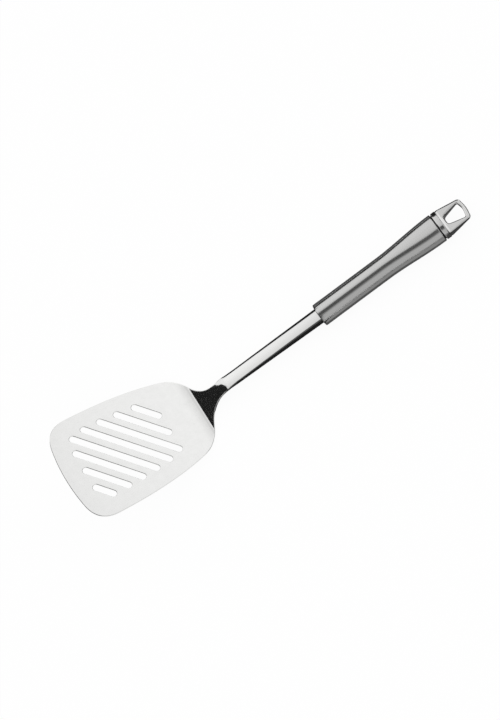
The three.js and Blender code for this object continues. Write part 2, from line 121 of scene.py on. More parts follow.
# Collar and spigot, lengths from the joint with the handle: the joint line lies between tube and collar
JOINT_LINE = (-0.4, 0.5)
# How far past the collar's front the groove's painted shade reaches
GROOVE_SHADE_REACH = 0.02
COLLAR_RADIUS = 9.3
COLLAR_LENGTH = 4.6
COLLAR_ROUND = 0.7
COLLAR_CENTRE = 1.0
SPIGOT_LENGTH = 12.0
SPIGOT_RADIUS = 8.1
SPIGOT_HOLLOW = 4.4
SPIGOT_ROUND = 0.3
INNER_ROUND = 0.05

# Tongue, lengths from the same joint: (width, thickness) at its ends, and its heel as (depth, corner)
CAP_LENGTH = 25.9
TONGUE_ROOT = (22.5, 7.4)
TONGUE_TIP = (18.2, 2.0)
TONGUE_HEEL = (0.3, 2.2)
TONGUE_CORNER = 3.2
TONGUE_EDGE = (1.6, 0.98)
TIP_BOW = 0.7
HOLE = (7.5, 22.8)
HOLE_WIDTHS = (7.6, 13.6)
HOLE_CORNER = 2.0
HOLE_BOW = 0.9

# Hollow round at the tongue's root: its radius, and the sine of its slope where it meets the collar
COVE = 2.6
COVE_SHARE = 0.82

# Fineness of outlines: spacing of points, and numbers of points along curves
OUTER_SPACING = 0.7
SLOT_SPACING = 0.5
FINE_SPACING = 0.05
FRONT_STEPS = 24
CORNER_STEPS = 40
SIDE_STEPS = 120
SIDE_READINGS = 200
NECK_STEPS = 60
SLOT_READINGS = 4001
SLOT_END_STEPS = 20
WEDGE_CORNER_STEPS = 24
WEDGE_TIP_STEPS = 40

# Fineness of surfaces: points round an edge or along a run, cuts across the sheet, stations along a piece
LINE_STEPS = 20001
LINE_SPARE = (5.0, 10.0)
EDGE_STEPS = 6
SWEEP_CUTS = 9
HEEL_CUTS = 25
NECK_CUTS = 33
CROWN_CUTS = 17
NOSE_STATIONS = 21
SHAFT_STATIONS = 40
BAR_EDGE_STEPS = 10
BAR_TOP_STEPS = 16
TURN_STEPS = 144
TAPER_RINGS = 12
WAIST_RINGS = 8
SWELL_RINGS = 40
RIM_STEPS = 7
TONGUE_RAYS = 360
TONGUE_STEPS = 42

# Weight of large faces in the shading, where 50 is neutral
FACE_WEIGHT = 80

# Tolerances: the shortest length that is divided by, and distances in metres
TINY = 1e-9
CUT_REACH = 1e-7
SEAM_REACH = 2e-6


# Places

def leaning(angle):
    """A turn about Y that lowers the +X end: rows (cos, 0, sin), (0, 1, 0) and (-sin, 0, cos)."""
    cos, sin = np.cos(angle), np.sin(angle)
    return np.array([[cos, 0.0, sin], [0.0, 1.0, 0.0], [-sin, 0.0, cos]])


WELD_LOW, WELD_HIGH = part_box("neck_weld")
WELD_X = (NECK_END_X + SHAFT_FRONT_X) / 2
ORIGIN = np.array((WELD_LOW + WELD_HIGH) / 2) - leaning(REST_TILT) @ [WELD_X * MM, 0.0, 0.0]


def to_part(points, on_handle=False):
    """Millimetres of the maker's frame to metres of the part's: the handle's lean, then the resting lean."""
    if on_handle:
        points = points @ leaning(-HANDLE_TILT).T - [0.0, 0.0, HANDLE_DROP]
    return points @ leaning(REST_TILT).T * MM + ORIGIN


# Curves and outlines

def smooth(x, low, high):
    """Smooth step: 3 t^2 - 2 t^3 of the share t of the way from low to high."""
    t = np.clip((x - low) / (high - low), 0.0, 1.0)
    return t * t * (3 - 2 * t)


def quadratic(start, corner, end, count):
    """Quadratic curve: (1-t)^2 start + 2 t (1-t) corner + t^2 end, without its last point."""
    t = np.linspace(0.0, 1.0, count, endpoint=False)[:, None]
    return (1 - t) ** 2 * np.array(start) + 2 * t * (1 - t) * np.array(corner) + t ** 2 * np.array(end)


def unit(ways):
    """Each row divided by its length."""
    return ways / np.maximum(np.linalg.norm(ways, axis=1, keepdims=True), TINY)


def rounded(corners, radii):
    """A line through corners, each replaced by a quadratic curve that starts and ends a radius from it."""
    corners = np.array(corners, float)
    radii = np.array(radii, float)[:, None]
    before = corners + unit(np.roll(corners, 1, 0) - corners) * radii
    after = corners + unit(np.roll(corners, -1, 0) - corners) * radii
    t = np.linspace(0.0, 1.0, EDGE_STEPS)[None, :, None]
    curves = (1 - t) ** 2 * before[:, None] + 2 * t * (1 - t) * corners[:, None] + t ** 2 * after[:, None]
    return curves.reshape(-1, 2)


def even(points, spacing):
    """A closed outline walked at even steps: each coordinate is interpolated along the length."""
    closed = np.vstack([points, points[:1]])
    length = np.concatenate([[0.0], np.cumsum(np.linalg.norm(np.diff(closed, axis=0), axis=1))])
    count = int(np.ceil(length[-1] / spacing))
    at = np.linspace(0.0, length[-1], count, endpoint=False)
    return np.stack([np.interp(at, length, closed[:, 0]), np.interp(at, length, closed[:, 1])], 1)


def inward(points):
    """Unit normals into a closed outline: square to the step between the neighbours of each point.

    The sign of the area, summed over (x y' - y x') of each point and the next, tells which side is inside.
    """
    after = np.roll(points, -1, 0)
    step = unit(after - np.roll(points, 1, 0))
    area = np.sum(points[:, 0] * after[:, 1] - points[:, 1] * after[:, 0])
    return np.stack([-step[:, 1], step[:, 0]], 1) * np.sign(area)


def reaching(start, through, across):
    """Where a straight line through two points reaches a given distance across."""
    start, through = np.array(start), np.array(through)
    return start + (across - start[1]) / (through[1] - start[1]) * (through - start)


# Meshes

def quads(rows, columns, close_rows, close_columns):
    """Faces of a grid: each joins a point, the next in its row and the same two of the next row."""
    index = np.arange(rows * columns).reshape(rows, columns)
    index = np.vstack([index, index[:1]]) if close_rows else index
    index = np.hstack([index, index[:, :1]]) if close_columns else index
    corners = [index[:-1, :-1], index[1:, :-1], index[1:, 1:], index[:-1, 1:]]
    return np.stack(corners, -1).reshape(-1, 4)


def taken_over(mesh):
    """A mesh as a bmesh, to be worked on."""
    bm = bmesh.new()
    bm.from_mesh(mesh)
    bpy.data.meshes.remove(mesh)
    return bm


def put_together(places, faces):
    """Places and faces, as whole arrays, put into a mesh."""
    mesh = bpy.data.meshes.new("grid")
    mesh.from_pydata(places.tolist(), [], faces.tolist())
    return taken_over(mesh)


def grid_faces(points, close_rows=False, on_handle=False):
    """A grid of points in the maker's frame, closed along each row, as a mesh in the part's frame."""
    rows, columns = points.shape[:2]
    return put_together(to_part(points.reshape(-1, 3), on_handle), quads(rows, columns, close_rows, True))


def finish_piece(name, bm, nodes, material, sharp=40.0):
    """Closes seams and poles, turns the faces outwards, and puts the piece on the frame."""
    bmesh.ops.remove_doubles(bm, verts=bm.verts, dist=SEAM_REACH)
    bmesh.ops.recalc_face_normals(bm, faces=bm.faces)
    mesh = bpy.data.meshes.new(name)
    bm.to_mesh(mesh)
    bm.free()
    mesh.shade_smooth()
    mesh.set_sharp_from_angle(angle=np.radians(sharp))
    piece = bpy.data.objects.new(name, mesh)
    bpy.context.scene.collection.objects.link(piece)
    weighted = piece.modifiers.new("Even shading", "WEIGHTED_NORMAL")
    weighted.keep_sharp = True
    weighted.weight = FACE_WEIGHT
    mesh.materials.append(material)
    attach(piece, "root")
    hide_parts(*nodes)
    return mesh


def turned(profile):
    """A profile of (distance, radius) turned about the X axis and spread sideways towards the handle's rear.

    With s the sine of the turn a: (x, r s + spread s sqrt(1 + w^2) / sqrt(s^2 + w^2), r cos a). The spread
    grows smoothly along X, and w is how softly the two sides part.
    """
    profile = np.array(profile, float)
    angle = np.linspace(0.0, 2 * np.pi, TURN_STEPS, endpoint=False)[None, :]
    x = np.broadcast_to(profile[:, :1], (len(profile), TURN_STEPS))
    radius = profile[:, 1:]
    sine = np.sin(angle)
    apart = sine * np.sqrt((1 + SPREAD_SOFTNESS ** 2) / (sine ** 2 + SPREAD_SOFTNESS ** 2))
    spread = REAR_SPREAD * smooth(x, SWELL_START, SWELL_END) * np.minimum(radius, 1.0)
    return np.stack([x, radius * sine + spread * apart, radius * np.cos(angle)], -1)


# Blade

# The curve of the blade's side
SIDE_CORNER = reaching(SHOULDER_CORNER, SHOULDER, HALF_BLADE)
SIDE_END = (BLADE_LENGTH - FRONT_CORNER[0], HALF_BLADE)

# Lengths along the bent sheet, from the middle of the heel's arc: a reach is from a bend's corner to its ends
HEEL_ARC = HEEL_RADIUS * (BLADE_RISE + NECK_RISE) / 2
HEEL_REACH = HEEL_RADIUS * np.tan((BLADE_RISE + NECK_RISE) / 2)
CRANK_ARC = CRANK_RADIUS * NECK_RISE
CRANK_REACH = CRANK_RADIUS * np.tan(NECK_RISE / 2)
CRANK_START = HEEL_ARC + HEEL_DROP / np.sin(NECK_RISE) - HEEL_REACH - CRANK_REACH
CRANK_END = CRANK_START + CRANK_ARC
SHEET_END = CRANK_END + NECK_END_X - CRANK_X - CRANK_REACH


def middle_line():
    """The sheet's bent middle line, as its lengths, slopes, X and Z: the slope is added up in small steps.

    The slope turns evenly in two arcs, after a slight sweep before the heel.
    """
    length = np.linspace(-BLADE_LENGTH - LINE_SPARE[0], SHEET_END + LINE_SPARE[1], LINE_STEPS)
    slope = np.interp(length, [-HEEL_SWEEP[0], -HEEL_ARC, HEEL_ARC, CRANK_START, CRANK_END],
                      [-BLADE_RISE, HEEL_SWEEP[1] - BLADE_RISE, NECK_RISE, NECK_RISE, 0.0])
    step = length[1] - length[0]
    middle = (slope[1:] + slope[:-1]) / 2
    x = np.concatenate([[0.0], np.cumsum(np.cos(middle) * step)])
    z = np.concatenate([[0.0], np.cumsum(np.sin(middle) * step)])
    x += NECK_END_X - np.interp(SHEET_END, length, x)
    z -= np.interp(SHEET_END, length, z)
    return length, slope, x, z


LINE_LENGTH, LINE_SLOPE, LINE_X, LINE_Z = middle_line()


def sheet_length(x):
    """Length along the bent middle line at a distance along X."""
    return np.interp(x, LINE_X, LINE_LENGTH)


def from_above(blade_points):
    """The blade's own (length, across) as (X, across) seen from above."""
    return np.array(blade_points) * [-np.cos(BLADE_RISE), 1.0] + [PLAN_X, 0.0]


def side_half_width(along):
    """Half-width of the blade's side: the quadratic curve from the shoulder, read at a distance along."""
    curve = quadratic(SHOULDER, SIDE_CORNER, SIDE_END, SIDE_READINGS)
    return np.interp(along, curve[:, 0], curve[:, 1])


def blade_side():
    """One side of the flat sheet as (length, half-width), from the front edge's middle to past the weld.

    It is a row of quadratic curves: front edge, front corner, side, shoulder and the flare into the neck.
    """
    front_end = np.array([BLADE_LENGTH - FRONT_BOW, HALF_BLADE - FRONT_CORNER[1]])
    front_corner = reaching((BLADE_LENGTH + FRONT_BOW, 0.0), front_end, HALF_BLADE)
    blade = np.vstack([
        quadratic((BLADE_LENGTH, 0.0), (BLADE_LENGTH, front_end[1] / 2), front_end, FRONT_STEPS),
        quadratic(front_end, front_corner, SIDE_END, CORNER_STEPS),
        quadratic(SIDE_END, SIDE_CORNER, SHOULDER, SIDE_STEPS),
    ])
    half_end = SHAFT_FRONT[0] / 2
    shoulder_corner = from_above(SHOULDER_CORNER)
    turn = np.array([PLAN_X + TURN[0], TURN[1]])
    flare_corner = reaching(shoulder_corner, turn, half_end)
    flare_end = np.array([PLAN_X + FLARE_LENGTH, half_end])
    side = np.vstack([
        from_above(blade),
        quadratic(from_above(SHOULDER), shoulder_corner, turn, NECK_STEPS),
        quadratic(turn, flare_corner, flare_end, NECK_STEPS),
        [flare_end, [NECK_END_X + SHEET_SPARE, half_end]],
    ])
    return np.stack([sheet_length(side[:, 0]), side[:, 1]], 1)


def slot_outline(crossing):
    """A round-ended slot: two half circles at the ends of a slanted line that the margins cut short.

    crossing is where the slot's line crosses the middle of the blade.
    """
    across = np.linspace(-HALF_BLADE, HALF_BLADE, SLOT_READINGS)
    along = crossing + across / np.tan(SLOT_ANGLE)
    side = side_half_width(along)
    inside = (along > SLOT_REAR) & (along < SLOT_FRONT)
    inside &= (across < side - SLOT_LEFT_MARGIN) & (across > SLOT_RIGHT_MARGIN - side)
    centre = np.array([SLOT_FRONT - FIELD_CORNER,
                       side_half_width(SLOT_FRONT - FIELD_CORNER) - SLOT_LEFT_MARGIN - FIELD_CORNER])
    in_corner = (along > centre[0]) & (across > centre[1])
    inside &= ~(in_corner & (np.hypot(along - centre[0], across - centre[1]) > FIELD_CORNER))
    radius = SLOT_WIDTH / 2
    inset = radius * np.sin(SLOT_ANGLE)
    ends = np.array([across[inside].max() - inset, across[inside].min() + inset])
    places = np.stack([crossing + ends / np.tan(SLOT_ANGLE), ends], 1)
    turn = SLOT_ANGLE + np.linspace(-np.pi / 2, np.pi / 2, SLOT_END_STEPS)
    half_circle = radius * np.stack([np.cos(turn), np.sin(turn)], 1)
    return np.vstack([places[0] + half_circle, places[1] - half_circle])


def edge_strip(outline, ways):
    """The rounded edge of the sheet: a half-round profile carried along an outline of the flat sheet.

    The profile holds (distance from the outline into the metal, height), from the upper face to the lower.
    """
    quarter = np.linspace(0.0, np.pi / 2, EDGE_STEPS)
    half = SHEET / 2 - SHEET_ROUND
    upper = np.stack([SHEET_ROUND * (1 - np.sin(quarter)), half + SHEET_ROUND * np.cos(quarter)], 1)
    profile = np.vstack([upper, upper[::-1] * [1, -1]])
    plan = outline[:, None] + ways[:, None] * profile[None, :, :1]
    height = np.broadcast_to(profile[None, :, 1:], plan.shape[:2] + (1,))
    return np.concatenate([plan, height], -1)


def flat_sheet():
    """The sheet before bending, in metres: a rounded strip along each outline, and both faces filled in."""
    side = blade_side()
    outer = even(np.vstack([side, side[1:][::-1] * [1, -1]]), OUTER_SPACING)
    strips = [edge_strip(outer, inward(outer))]
    pitch = SLOT_PITCH / np.sin(SLOT_ANGLE)
    for number in range(SLOT_COUNT):
        slot = even(slot_outline(FIRST_SLOT + number * pitch), SLOT_SPACING)
        slot[:, 0] = sheet_length(from_above(slot)[:, 0])
        strips.append(edge_strip(slot, -inward(slot)))
    places = np.vstack([strip.reshape(-1, 3) for strip in strips]) * MM
    firsts = np.cumsum([0] + [len(strip) * strip.shape[1] for strip in strips])
    faces = [quads(*strip.shape[:2], True, False) + first for strip, first in zip(strips, firsts)]
    bm = put_together(places, np.vstack(faces))
    # The rims go by their points' numbers, because the order in which Blender adds edges can vary
    rims = sorted((edge for edge in bm.edges if edge.is_boundary),
                  key=lambda edge: sorted(vert.index for vert in edge.verts))
    for sign in (1, -1):
        face_rims = [edge for edge in rims if edge.verts[0].co.z * sign > 0]
        bmesh.ops.triangle_fill(bm, edges=face_rims, use_beauty=True, normal=(0, 0, sign))
    return bm


def cut_sheet(bm):
    """Cuts the flat sheet across where it bends, off at the weld, and along its length where it is domed."""
    cuts = np.concatenate([
        np.linspace(-HEEL_SWEEP[0], -HEEL_ARC, SWEEP_CUTS)[:-1],
        np.linspace(-HEEL_ARC, HEEL_ARC, HEEL_CUTS),
        np.linspace(HEEL_ARC, SHEET_END, NECK_CUTS)[1:],
    ])
    for cut in cuts:
        whole = bm.verts[:] + bm.edges[:] + bm.faces[:]
        bmesh.ops.bisect_plane(bm, geom=whole, dist=CUT_REACH, plane_co=(cut * MM, 0, 0), plane_no=(1, 0, 0),
                               clear_outer=bool(cut == cuts[-1]))
    domed_from = sheet_length(CROWN_START[0]) * MM
    domed = [face for face in bm.faces if face.calc_center_median().x > domed_from]
    for cut in np.linspace(-1.0, 1.0, CROWN_CUTS) * SHAFT_FRONT[0] / 2:
        geom = dict.fromkeys(part for face in domed for part in [face, *face.edges, *face.verts])
        found = bmesh.ops.bisect_plane(bm, geom=list(geom), dist=CUT_REACH,
                                       plane_co=(0, cut * MM, 0), plane_no=(0, 1, 0))
        domed = [part for part in found["geom"] if isinstance(part, bmesh.types.BMFace)]
    bmesh.ops.holes_fill(bm, edges=[edge for edge in bm.edges if edge.is_boundary], sides=0)


def crown(x, across):
    """Drop of the domed bar below its middle: across^2 / (2 R), faded in along the neck."""
    return smooth(x, *CROWN_START) * across ** 2 / (2 * CROWN_RADIUS)


def sheet_place(flat):
    """The flat sheet bent into shape: a point's height is laid square to the bent middle line.

    flat holds (length, across, height above the middle of the sheet).
    """
    length, across, height = flat.T
    tilt = np.interp(length, LINE_LENGTH, LINE_SLOPE)
    x = np.interp(length, LINE_LENGTH, LINE_X)
    height = height - crown(x, across)
    return np.stack([
        x - height * np.sin(tilt),
        across,
        np.interp(length, LINE_LENGTH, LINE_Z) + height * np.cos(tilt),
    ], 1)


def make_blade(material):
    """The sheet of the blade and neck: made flat with rounded edges, cut, and bent as a whole array."""
    bm = flat_sheet()
    cut_sheet(bm)
    mesh = bpy.data.meshes.new("flat sheet")
    bm.to_mesh(mesh)
    bm.free()
    flat = np.empty(len(mesh.vertices) * 3)
    mesh.vertices.foreach_get("co", flat)
    mesh.vertices.foreach_set("co", to_part(sheet_place(flat.reshape(-1, 3) / MM)).ravel())
    finish_piece("slotted_sheet", taken_over(mesh), ["slotted_blade"], material)


# Shaft

def bar_section(width, thickness, edge):
    """Rounded rectangles, one for each station: quarter ovals round four centres, as (across, up).

    The straight upper and lower runs are divided, so that the bar's top can be domed.
    """
    quarter = np.linspace(0.0, np.pi / 2, BAR_EDGE_STEPS)
    angle = quarter[None, :] + np.arange(4)[:, None] * np.pi / 2
    sign_y, sign_z = np.array([[1], [-1], [-1], [1]]), np.array([[1], [1], [-1], [-1]])
    half_y, half_z, edge_y, edge_z = (v[:, None, None] for v in (width / 2, thickness / 2, *edge.T))
    y = sign_y * (half_y - edge_y) + edge_y * np.cos(angle)
    z = sign_z * (half_z - edge_z) + edge_z * np.sin(angle)
    share = np.linspace(0.0, 1.0, BAR_TOP_STEPS + 2)[1:-1]

    def ring(v):
        top = v[:, 0, -1:] + share * (v[:, 1, :1] - v[:, 0, -1:])
        bottom = v[:, 2, -1:] + share * (v[:, 3, :1] - v[:, 2, -1:])
        return np.concatenate([v[:, 0], top, v[:, 1], v[:, 2], bottom, v[:, 3]], 1)

    return ring(y), ring(z)


def make_shaft(material):
    """The bar: rounded rectangles whose width, thickness and rounding change along X, closed at both ends.

    Its top runs on from the sheet and rises by t + e (t - t^2), with t the share of the way and e the ease.
    It is domed by across^2 / (2 R). Its underside drops smoothly at the nose, and then evenly.
    """
    nose = np.linspace(NECK_END_X, SHAFT_FRONT_X + NOSE_LENGTH, NOSE_STATIONS)
    run = np.linspace(SHAFT_FRONT_X + NOSE_LENGTH, PLATE_RECESS, SHAFT_STATIONS)[1:]
    x = np.concatenate([nose, run])
    near = smooth(x, nose[0], nose[-1])
    far = (x - nose[0]) / (PLATE_RECESS - nose[0])
    full = SHAFT_FRONT[1] + far * (SHAFT_REAR[1] - SHAFT_FRONT[1])
    under = -(SHEET + near * (full - SHEET)) / 2
    over = SHEET / 2 + far * (1 + TOP_EASE - TOP_EASE * far) * (SHAFT_REAR[1] - SHEET) / 2
    width = SHAFT_FRONT[0] + far * (SHAFT_REAR[0] - SHAFT_FRONT[0])
    soon = smooth(x, nose[0], nose[0] + EDGE_LENGTH)[:, None]
    edge = SHEET_ROUND + soon * (np.minimum(SHAFT_EDGE, (over - under)[:, None] / 2) - SHEET_ROUND)
    x = np.concatenate([x, [PLATE_RECESS, PLATE_RECESS + TANG_LENGTH]])
    width = np.concatenate([width, [TANG[0]] * 2])
    under = np.concatenate([under, [-TANG[1] / 2] * 2])
    over = np.concatenate([over, [TANG[1] / 2] * 2])
    edge = np.concatenate([edge, [SHAFT_EDGE] * 2])
    y, z = bar_section(width, over - under, edge)
    x = np.broadcast_to(x[:, None], y.shape)
    points = np.stack([x, y, z + (over + under)[:, None] / 2 - crown(x, y)], -1)
    start = np.broadcast_to([x[0, 0], 0.0, 0.0], points[:1].shape)
    end = np.broadcast_to([x[-1, 0], 0.0, 0.0], points[:1].shape)
    bm = grid_faces(np.concatenate([start, points, end]))
    finish_piece("shaft_bar", bm, ["shaft", "neck_weld"], material)


# Handle

def handle_radius(x):
    """Waist, plus a slight flare at the front rim."""
    return WAIST_RADIUS + (FRONT_RADIUS - WAIST_RADIUS) * (1 - smooth(x, 0.0, FRONT_TAPER))


def make_handle(material):
    """The tube: an outer line, rounded over both rims into an inner line one wall further in, turned."""
    end = HANDLE_LENGTH + JOINT_LINE[0]
    x = np.concatenate([
        np.linspace(RIM_ROUND, FRONT_TAPER, TAPER_RINGS),
        np.linspace(FRONT_TAPER, SWELL_START, WAIST_RINGS)[1:],
        np.linspace(SWELL_START, SWELL_END, SWELL_RINGS)[1:],
        [end - RIM_ROUND],
    ])
    outer = np.stack([x, handle_radius(x)], 1)
    inner = np.stack([x, handle_radius(x) - HANDLE_WALL], 1)[::-1]
    arc = np.linspace(0.0, np.pi / 2, RIM_STEPS)[1:, None]
    rise, run = RIM_ROUND * np.sin(arc), RIM_ROUND * np.cos(arc)
    front = np.hstack([RIM_ROUND - run, FRONT_RADIUS - RIM_ROUND + rise])[:-1]
    rear = np.hstack([end - RIM_ROUND + rise, WAIST_RADIUS - RIM_ROUND + run])
    profile = np.vstack([
        [[0.0, FRONT_RADIUS - RIM_ROUND]], front, outer, rear,
        [[end, WAIST_RADIUS - HANDLE_WALL]], inner, [[0.0, FRONT_RADIUS - HANDLE_WALL]],
    ])
    bm = grid_faces(turned(profile), close_rows=True, on_handle=True)
    finish_piece("handle_tube", bm, ["handle_shell"], material, sharp=60.0)


# Cast end

def make_collar(material, joint):
    """The collar and the spigot inside the handle: one line of (distance, radius) turned about X.

    The spigot, seen only in the joint line, and the collar's face in the groove are painted near black:
    painted shade in the groove between tube and collar.
    """
    start = HANDLE_LENGTH + JOINT_LINE[1]
    end = HANDLE_LENGTH + COLLAR_LENGTH
    corners = [(start, SPIGOT_HOLLOW), (start - SPIGOT_LENGTH, SPIGOT_HOLLOW),
               (start - SPIGOT_LENGTH, SPIGOT_RADIUS), (start, SPIGOT_RADIUS),
               (start, COLLAR_RADIUS), (end, COLLAR_RADIUS), (end, COLLAR_CENTRE)]
    radii = [INNER_ROUND, SPIGOT_ROUND, SPIGOT_ROUND, INNER_ROUND, COLLAR_ROUND, COLLAR_ROUND, INNER_ROUND]
    half_arc = EDGE_STEPS // 2
    profile = rounded(corners, radii)[half_arc:-half_arc]
    profile = np.vstack([[[start, 0.0]], profile, [[end, 0.0]]])
    bm = grid_faces(turned(profile), on_handle=True)
    mesh = finish_piece("cap_collar", bm, ["end_cap"], material)
    mesh.materials.append(joint)
    # Painted shade: faces short of the reach, the spigot and the collar's face in the groove, take the
    # near-black material
    centres = np.empty(len(mesh.polygons) * 3)
    mesh.polygons.foreach_get("center", centres)
    edge = to_part(np.array([[start + GROOVE_SHADE_REACH, 0.0, 0.0]]), on_handle=True)[0, 0]
    mesh.polygons.foreach_set("material_index", (centres[::3] < edge).astype(np.int32))


def tapered(start, end, widths, near_corner, far_corner, bow):
    """A wedge outline: sides run evenly from one width to the other, corners rounded, the far end bowed."""
    def half(x):
        return np.interp(x, [start, end], [widths[0] / 2, widths[1] / 2])

    near = quadratic((start, half(start) - near_corner), (start, half(start)),
                     (start + near_corner, half(start + near_corner)), WEDGE_CORNER_STEPS)
    far = quadratic((end - far_corner, half(end - far_corner)), (end, half(end)),
                    (end, half(end) - far_corner), WEDGE_CORNER_STEPS)
    tip = quadratic((end, half(end) - far_corner), (end + 2 * bow, 0.0),
                    (end, far_corner - half(end)), WEDGE_TIP_STEPS)
    return np.vstack([near, far, tip, far[::-1] * [1, -1], near[::-1] * [1, -1]])


def reach_at(outline, centre, angle):
    """Distance from a centre to an outline in each direction, interpolated over the outline's own angles."""
    dense = even(outline, FINE_SPACING) - centre
    bearing = np.arctan2(dense[:, 1], dense[:, 0])
    order = np.argsort(bearing)
    return np.interp(angle, bearing[order], np.hypot(dense[:, 0], dense[:, 1])[order], period=2 * np.pi)


def tongue_half(x):
    """Half-thickness of the tongue: an even wedge, with a hollow round up to the collar at its root."""
    root, tip = TONGUE_ROOT[1] / 2, TONGUE_TIP[1] / 2
    cove_end = COLLAR_LENGTH + COVE_SHARE * COVE
    wedge = root + (x - cove_end) / (CAP_LENGTH - cove_end) * (tip - root)
    into = np.clip((cove_end - x) / COVE, 0.0, COVE_SHARE)
    return np.where(x < cove_end, root, wedge) + COVE * (1 - np.sqrt(1 - into ** 2))


def make_tongue(material):
    """A ring round the hanging hole: straight rays from the hole to the rim carry a rounded section.

    The section is a loop of (share of the ray, step in from its ends, drop from the face): the hole's wall,
    the rounded edge, the face, the rim's rounded edge, the rim's wall, and the same below.
    """
    root = COLLAR_LENGTH - TONGUE_HEEL[0]
    widths = (TONGUE_ROOT[0], TONGUE_TIP[0])
    rim = tapered(root, CAP_LENGTH - TIP_BOW, widths, TONGUE_HEEL[1], TONGUE_CORNER, TIP_BOW)
    hole = tapered(HOLE[0], HOLE[1] - HOLE_BOW, HOLE_WIDTHS, HOLE_CORNER, HOLE_CORNER, HOLE_BOW)
    centre = np.array([(HOLE[0] + HOLE[1]) / 2, 0.0])
    angle = np.linspace(-np.pi, np.pi, TONGUE_RAYS, endpoint=False)[:, None]
    inner = reach_at(hole, centre, angle)
    outer = reach_at(rim, centre, angle)
    arc = np.linspace(0.0, np.pi / 2, RIM_STEPS)
    face = np.linspace(0.0, 1.0, TONGUE_STEPS)[1:-1]
    step = TONGUE_EDGE[0] * (1 - np.cos(arc))
    drop = TONGUE_EDGE[1] * (1 - np.sin(arc))
    share = np.concatenate([np.zeros(RIM_STEPS), face, np.ones(RIM_STEPS)])[None]
    offset = np.concatenate([step, TONGUE_EDGE[0] * (1 - 2 * face), -step[::-1]])[None]
    lower = np.concatenate([drop, np.zeros(len(face)), drop[::-1]])[None]
    reach = inner + share * (outer - inner) + offset
    x = centre[0] + reach * np.cos(angle)
    y = reach * np.sin(angle)
    z = tongue_half(x) - lower
    upper = np.stack([x, y, z], -1)
    under = np.stack([x, y, -z], -1)[:, ::-1]
    points = np.concatenate([upper, under], 1) + [HANDLE_LENGTH, 0.0, 0.0]
    bm = grid_faces(points, close_rows=True, on_handle=True)
    finish_piece("hanging_tongue", bm, ["end_cap"], material)


# Finishes

class Socket:
    """A shader value: operators add Math nodes, and make() adds any other node to the same tree."""

    def __init__(self, tree, socket=None):
        self.tree, self.socket = tree, socket

    def make(self, kind, settings=None, output=0, **values):
        """A new node with its settings, then its sockets by name, or by number as i0, i1 and so on."""
        node = self.tree.nodes.new(kind)
        for key, value in (settings or {}).items():
            setattr(node, key, value)
        for key, value in values.items():
            numbered = key[0] == "i" and key[1:].isdigit()
            socket = node.inputs[int(key[1:]) if numbered else key.replace("_", " ")]
            if isinstance(value, Socket):
                self.tree.links.new(value.socket, socket)
            else:
                socket.default_value = value
        return Socket(self.tree, node.outputs[output] if node.outputs else None)

    def math(self, operation, other=0.0, clamp=False):
        return self.make("ShaderNodeMath", {"operation": operation, "use_clamp": clamp}, i0=self, i1=other)

    def __add__(self, other):
        return self.math("ADD", other)

    def __sub__(self, other):
        return self.math("SUBTRACT", other)

    def __mul__(self, other):
        return self.math("MULTIPLY", other)

    def __rsub__(self, other):
        return self.make("ShaderNodeMath", {"operation": "SUBTRACT"}, i0=other, i1=self)

    __radd__ = __add__
    __rmul__ = __mul__

    def step(self, low, high):
        """0 below low, 1 above high, smooth between."""
        return self.make("ShaderNodeMapRange", {"interpolation_type": "SMOOTHSTEP"},
                         Value=self, From_Min=low, From_Max=high)


def new_material(name):
    """An empty material, and a Socket to make its nodes from."""
    material = bpy.data.materials.new(name)
    material.use_nodes = True
    material.node_tree.nodes.clear()
    return material, Socket(material.node_tree)


# A noise's middle value, the share of blue in steel, and the height of a weld's ripples in metres
MIDDLE = 0.5
STEEL_BLUE = 0.99
RIPPLE = 0.0001


def steel(name, tone, rough, streak, streak_depth, cloud=0.03, cloud_scale=70.0, rough_change=0.06, bump=0.0):
    """Stainless steel: a grey metal whose tone and roughness vary with fine streaks and faint broad clouds.

    streak holds how often the streaks change along each axis.
    """
    material, root = new_material(name)
    place = root.make("ShaderNodeTexCoord", output="Object")
    stretched = root.make("ShaderNodeMapping", Vector=place, Scale=streak)
    lines = root.make("ShaderNodeTexNoise", Vector=stretched, Scale=1.0, Detail=4.0, Roughness=0.6)
    clouds = root.make("ShaderNodeTexNoise", Vector=place, Scale=cloud_scale, Detail=3.0, Roughness=0.5)
    change = (lines - MIDDLE) * (2 * streak_depth) + (clouds - MIDDLE) * (2 * cloud) + 1.0
    grey = (tone, tone, tone * STEEL_BLUE)
    colour = root.make("ShaderNodeVectorMath", {"operation": "SCALE"}, i0=grey, Scale=change)
    roughness = (lines - MIDDLE) * (2 * rough_change) + (clouds - MIDDLE) * rough_change + rough
    looks = {"Base_Color": colour, "Metallic": 1.0, "Roughness": roughness}
    if bump:
        looks["Normal"] = root.make("ShaderNodeBump", Height=lines, Strength=bump, Distance=RIPPLE)
    root.make("ShaderNodeOutputMaterial", Surface=root.make("ShaderNodeBsdfPrincipled", **looks))
    return material


blade_finish = steel("Blade_steel", tone=0.86, rough=0.09, streak=(60.0, 900.0, 60.0), streak_depth=0.02,
                     cloud=0.045, cloud_scale=220.0, rough_change=0.03)
shaft_finish = steel("Shaft_steel", tone=0.92, rough=0.09, streak=(20.0, 900.0, 900.0), streak_depth=0.02,
                     cloud=0.02, rough_change=0.03)
handle_finish = steel("Handle_steel", tone=0.71, rough=0.17, streak=(12.0, 900.0, 900.0), streak_depth=0.035,
                      cloud=0.01, rough_change=0.025)
cap_finish = steel("Cap_steel", tone=0.78, rough=0.12, streak=(400.0, 400.0, 400.0), streak_depth=0.03)
collar_finish = steel("Collar_steel", tone=0.76, rough=0.13, streak=(500.0, 60.0, 60.0), streak_depth=0.04)
